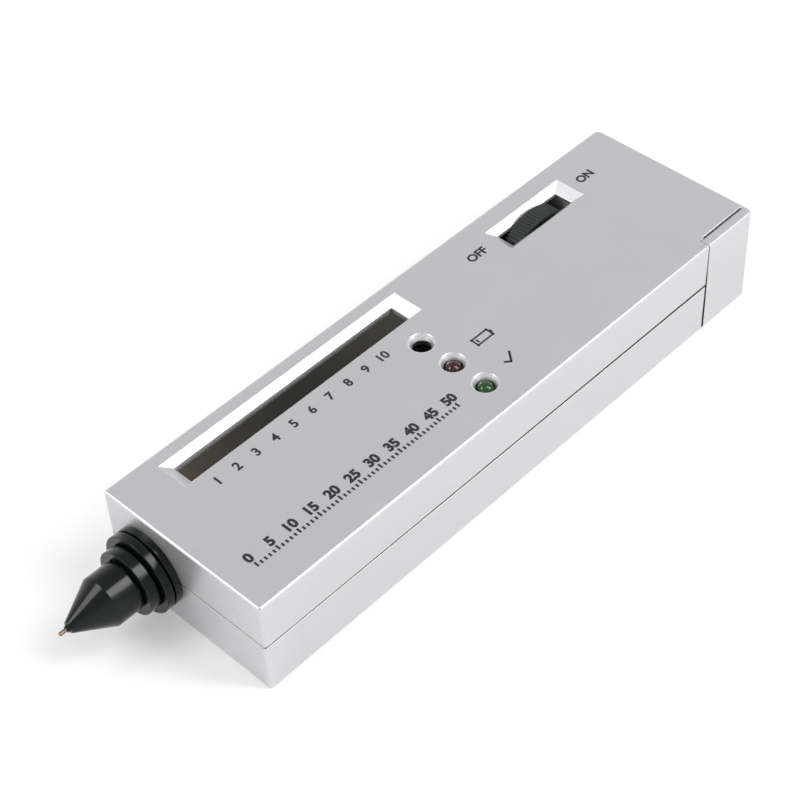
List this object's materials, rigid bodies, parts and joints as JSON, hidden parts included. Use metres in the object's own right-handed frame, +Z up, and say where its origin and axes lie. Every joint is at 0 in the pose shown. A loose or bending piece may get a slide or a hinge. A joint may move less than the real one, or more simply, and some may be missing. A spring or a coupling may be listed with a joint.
{
  "type": "moissanite tester pen",
  "caption": "Flat handheld gem tester with a sprung metal probe, bevelled light bar window, thumbwheel switch and sliding battery cover.",
  "frame": {"origin": "centre of the case's flat underside", "axes": "+X from the probe end to the rear, +Y from the near side to the window side, +Z up"},
  "size_m": [0.1561, 0.04, 0.022],
  "materials": {
    "silver_case": "satin silver paint on moulded ABS",
    "smoked_acrylic": "polished smoked acrylic",
    "black_gloss": "polished black plastic",
    "black_matte": "moulded black plastic",
    "copper": "drawn copper wire, slightly tarnished",
    "white_ceramic": "fired ceramic",
    "steel": "zinc plated steel",
    "nickel": "nickel plated brass",
    "red_light": "dyed clear epoxy",
    "green_light": "dyed clear epoxy",
    "yellow_light": "dyed clear epoxy",
    "board_green": "solder mask on glass epoxy",
    "resistor_tan": "lacquered ceramic",
    "can_metal": "drawn aluminium",
    "trimmer_blue": "moulded thermoset",
    "battery_jacket": "lacquered steel can",
    "foam": "open cell foam",
    "red_wire": "PVC insulation",
    "black_wire": "PVC insulation",
    "white_wire": "PVC insulation"
  },
  "bodies": {
    "root": {"top_shell": "silver_case", "bottom_shell": "silver_case", "display_window": "smoked_acrylic", "probe_collar": "black_gloss", "nose_cone": "black_gloss", "bar_holder": "black_matte", "buzzer": "black_matte", "potentiometer_case": "black_matte", "battery_connector": "black_matte", "driver_chip": "black_matte", "amplifier_chip": "black_matte", "led_spacers": "black_matte", "case_screws": "steel", "board_screws": "steel", "probe_spring": "steel", "probe_nut": "nickel", "battery_terminals": "nickel", "connector_contacts": "nickel", "chip_pins": "nickel", "potentiometer_pins": "nickel", "low_battery_led": "red_light", "bar_leds_red": "red_light", "ready_led": "green_light", "bar_leds_green": "green_light", "bar_leds_yellow": "yellow_light", "main_board": "board_green", "resistors": "resistor_tan", "capacitors": "can_metal", "trimmer": "trimmer_blue", "battery_case": "battery_jacket", "battery_lead_red": "red_wire", "switch_leads": "red_wire", "battery_lead_black": "black_wire", "probe_leads": "white_wire"},
    "wheel": {"thumbwheel": "black_matte", "wheel_shaft": "steel", "wheel_screw": "steel"},
    "door": {"battery_door": "silver_case", "battery_pad": "foam"},
    "tip": {"probe_tip": "copper", "probe_heater": "white_ceramic"}
  },
  "joints": [
    {"name": "wheel_turn", "type": "hinge", "parent": "root", "child": "wheel", "pos_m": [0.03852, 0.01208, 0.0122], "axis": [0, 1, 0], "range_deg": [0, 270]},
    {"name": "door_slide", "type": "slide", "parent": "root", "child": "door", "axis": [1, 0, 0], "range_m": [0, 0.02]},
    {"name": "tip_press", "type": "slide", "parent": "root", "child": "tip", "axis": [1, 0, 0], "range_m": [0, 0.0015], "stiffness_N_per_m": 400, "springref_m": -0.002, "deforming": ["probe_spring"]}
  ]
}
